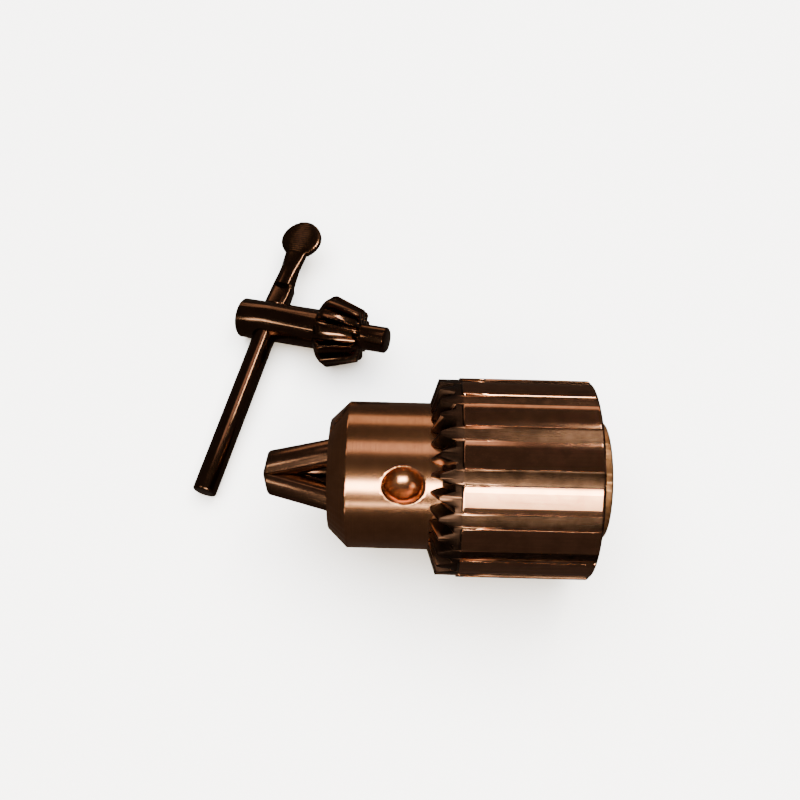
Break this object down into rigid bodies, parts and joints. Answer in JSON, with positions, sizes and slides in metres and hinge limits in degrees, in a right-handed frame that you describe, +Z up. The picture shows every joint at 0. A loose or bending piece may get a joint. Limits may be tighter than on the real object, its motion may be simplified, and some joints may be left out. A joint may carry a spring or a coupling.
{
  "type": "drill chuck",
  "caption": "Keyed three-jaw drill chuck lying on its side, with its loose T-handled key beside it; turning the toothed sleeve slides the jaws.",
  "frame": {"origin": "on the table, under the chuck's axis, at the middle of the sleeve's lowest land", "axes": "+X along the chuck's axis from nose to arbor end, +Z up off the table, the key lies on the +Y side"},
  "size_m": [0.1357, 0.1476, 0.0628],
  "materials": {
    "body_steel": "turned and ground steel with fine rings",
    "sleeve_steel": "ground steel, satin",
    "jaw_steel": "ground hardened steel, satin",
    "nut_steel": "machined steel, oiled",
    "race_steel": "polished bearing steel",
    "cage_brass": "stamped brass",
    "key_black_oxide": "forged and blackened, oiled, semi-gloss"
  },
  "bodies": {
    "body": {"chuck_body": "body_steel", "body_side_race": "race_steel"},
    "collar": {"sleeve": "sleeve_steel", "nut_half_1": "nut_steel", "nut_half_2": "nut_steel", "nut_side_race": "race_steel"},
    "cage": {"ball_cage": "cage_brass", "bearing_ball_01": "race_steel", "bearing_ball_02": "race_steel", "bearing_ball_03": "race_steel", "bearing_ball_04": "race_steel", "bearing_ball_05": "race_steel", "bearing_ball_06": "race_steel", "bearing_ball_07": "race_steel", "bearing_ball_08": "race_steel", "bearing_ball_09": "race_steel", "bearing_ball_10": "race_steel", "bearing_ball_11": "race_steel", "bearing_ball_12": "race_steel", "bearing_ball_13": "race_steel", "bearing_ball_14": "race_steel", "bearing_ball_15": "race_steel", "bearing_ball_16": "race_steel", "bearing_ball_17": "race_steel", "bearing_ball_18": "race_steel", "bearing_ball_19": "race_steel", "bearing_ball_20": "race_steel", "bearing_ball_21": "race_steel", "bearing_ball_22": "race_steel", "bearing_ball_23": "race_steel", "bearing_ball_24": "race_steel"},
    "jaw_a": {"jaw_1": "jaw_steel"},
    "jaw_b": {"jaw_2": "jaw_steel"},
    "jaw_c": {"jaw_3": "jaw_steel"},
    "key": {"key_body": "key_black_oxide", "key_handle_bar": "key_black_oxide"}
  },
  "joints": [
    {"name": "sleeve_turn", "type": "hinge", "parent": "body", "child": "collar", "pos_m": [0, 0, 0.03141], "axis": [1, 0, 0], "range_deg": [0, 2880]},
    {"name": "cage_turn", "type": "hinge", "parent": "body", "child": "cage", "pos_m": [0, 0, 0.03141], "axis": [1, 0, 0], "range_deg": [0, 1440]},
    {"name": "jaw_a_slide", "type": "slide", "parent": "body", "child": "jaw_a", "axis": [0.9659, -0.2587, -0.009], "range_m": [0, 0.02485]},
    {"name": "jaw_b_slide", "type": "slide", "parent": "body", "child": "jaw_b", "axis": [0.9659, 0.1372, -0.2195], "range_m": [0, 0.02485]},
    {"name": "jaw_c_slide", "type": "slide", "parent": "body", "child": "jaw_c", "axis": [0.9659, 0.1215, 0.2285], "range_m": [0, 0.02485]},
    {"name": "key_lift", "type": "slide", "parent": "body", "child": "key", "axis": [0, 0, 1], "range_m": [0, 0.1]}
  ],
  "couplings": [
    {"joint": "cage_turn", "follows": "sleeve_turn", "ratio": 0.5},
    {"joint": "jaw_a_slide", "follows": "sleeve_turn", "m_per_rad": 0.00049431},
    {"joint": "jaw_b_slide", "follows": "sleeve_turn", "m_per_rad": 0.00049431},
    {"joint": "jaw_c_slide", "follows": "sleeve_turn", "m_per_rad": 0.00049431}
  ]
}
